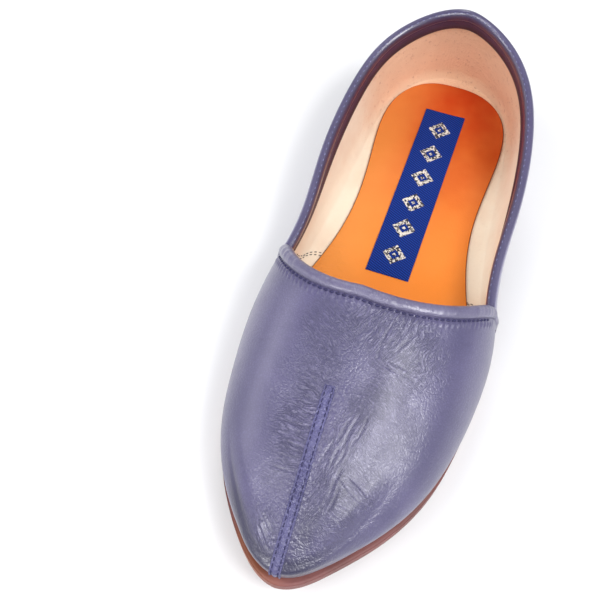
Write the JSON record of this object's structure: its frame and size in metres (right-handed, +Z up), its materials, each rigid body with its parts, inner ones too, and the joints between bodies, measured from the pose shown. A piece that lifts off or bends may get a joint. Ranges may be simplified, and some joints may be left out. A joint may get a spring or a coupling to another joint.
{
  "type": "mojari shoe",
  "caption": "Flat slip-on leather mojari shoe for the left foot, with a deep open collar, raised toe seam, moulded sole and padded sock.",
  "frame": {"origin": "On the ground under the middle of the shoe's box.", "axes": "+Z up from the ground, +Y from toe to heel, +X towards the outer side of a left shoe."},
  "size_m": [0.1062, 0.2844, 0.0702],
  "materials": {
    "upper_leather": "indigo blue, polished full grain, semi-gloss",
    "binding_leather": "indigo blue, folded edge, semi-gloss",
    "sock_leather": "orange, smooth, satin",
    "sole_rubber": "dusty rose brown, matt",
    "label_weave": "blue twill weave"
  },
  "bodies": {
    "root": {"outsole": "sole_rubber", "upper": "upper_leather", "insole_sock": "sock_leather", "collar_binding": "binding_leather", "throat_binding": "binding_leather", "toe_seam": "upper_leather", "label": "label_weave"}
  },
  "joints": []
}
